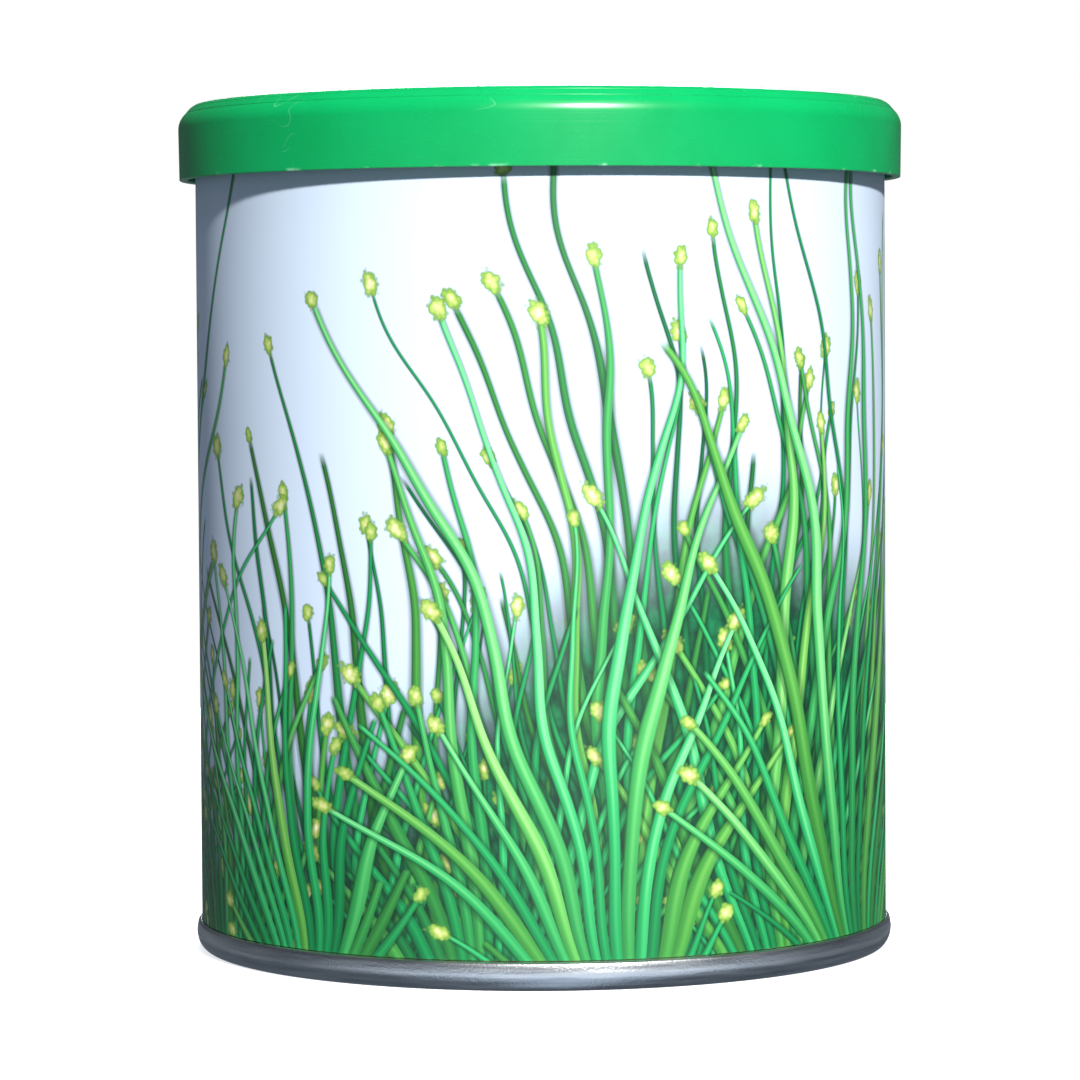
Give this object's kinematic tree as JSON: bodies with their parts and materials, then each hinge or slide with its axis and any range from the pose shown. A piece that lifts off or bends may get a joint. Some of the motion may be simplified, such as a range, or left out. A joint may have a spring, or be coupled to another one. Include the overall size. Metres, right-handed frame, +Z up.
{
  "type": "composite seed can with plastic lid",
  "caption": "Round board can with a tinplate ring and bottom end, printed paper label, peel-off foil seal and push-on plastic overcap, closed; made to hold dry seeds.",
  "frame": {"origin": "on the can's axis, on the surface that the can stands on", "axes": "+Z up along the can's axis; -Y towards the front of the label, +X to its right"},
  "size_m": [0.0784, 0.0784, 0.0913],
  "materials": {
    "green_plastic": "moulded low-density polyethylene, mid green, glossy with fine concentric drag lines",
    "tinplate": "bright tinplate, rolled and drawn, faint brushed lines round the can",
    "board": "spiral-wound grey-brown board, matte",
    "label_paper": null,
    "foil": "aluminium foil laminate, satin"
  },
  "bodies": {
    "root": {"bottom_end": "tinplate", "tube": "board", "foil_liner": "foil", "label": "label_paper", "top_ring": "tinplate", "foil_seal": "foil", "overcap": "green_plastic"}
  },
  "joints": []
}
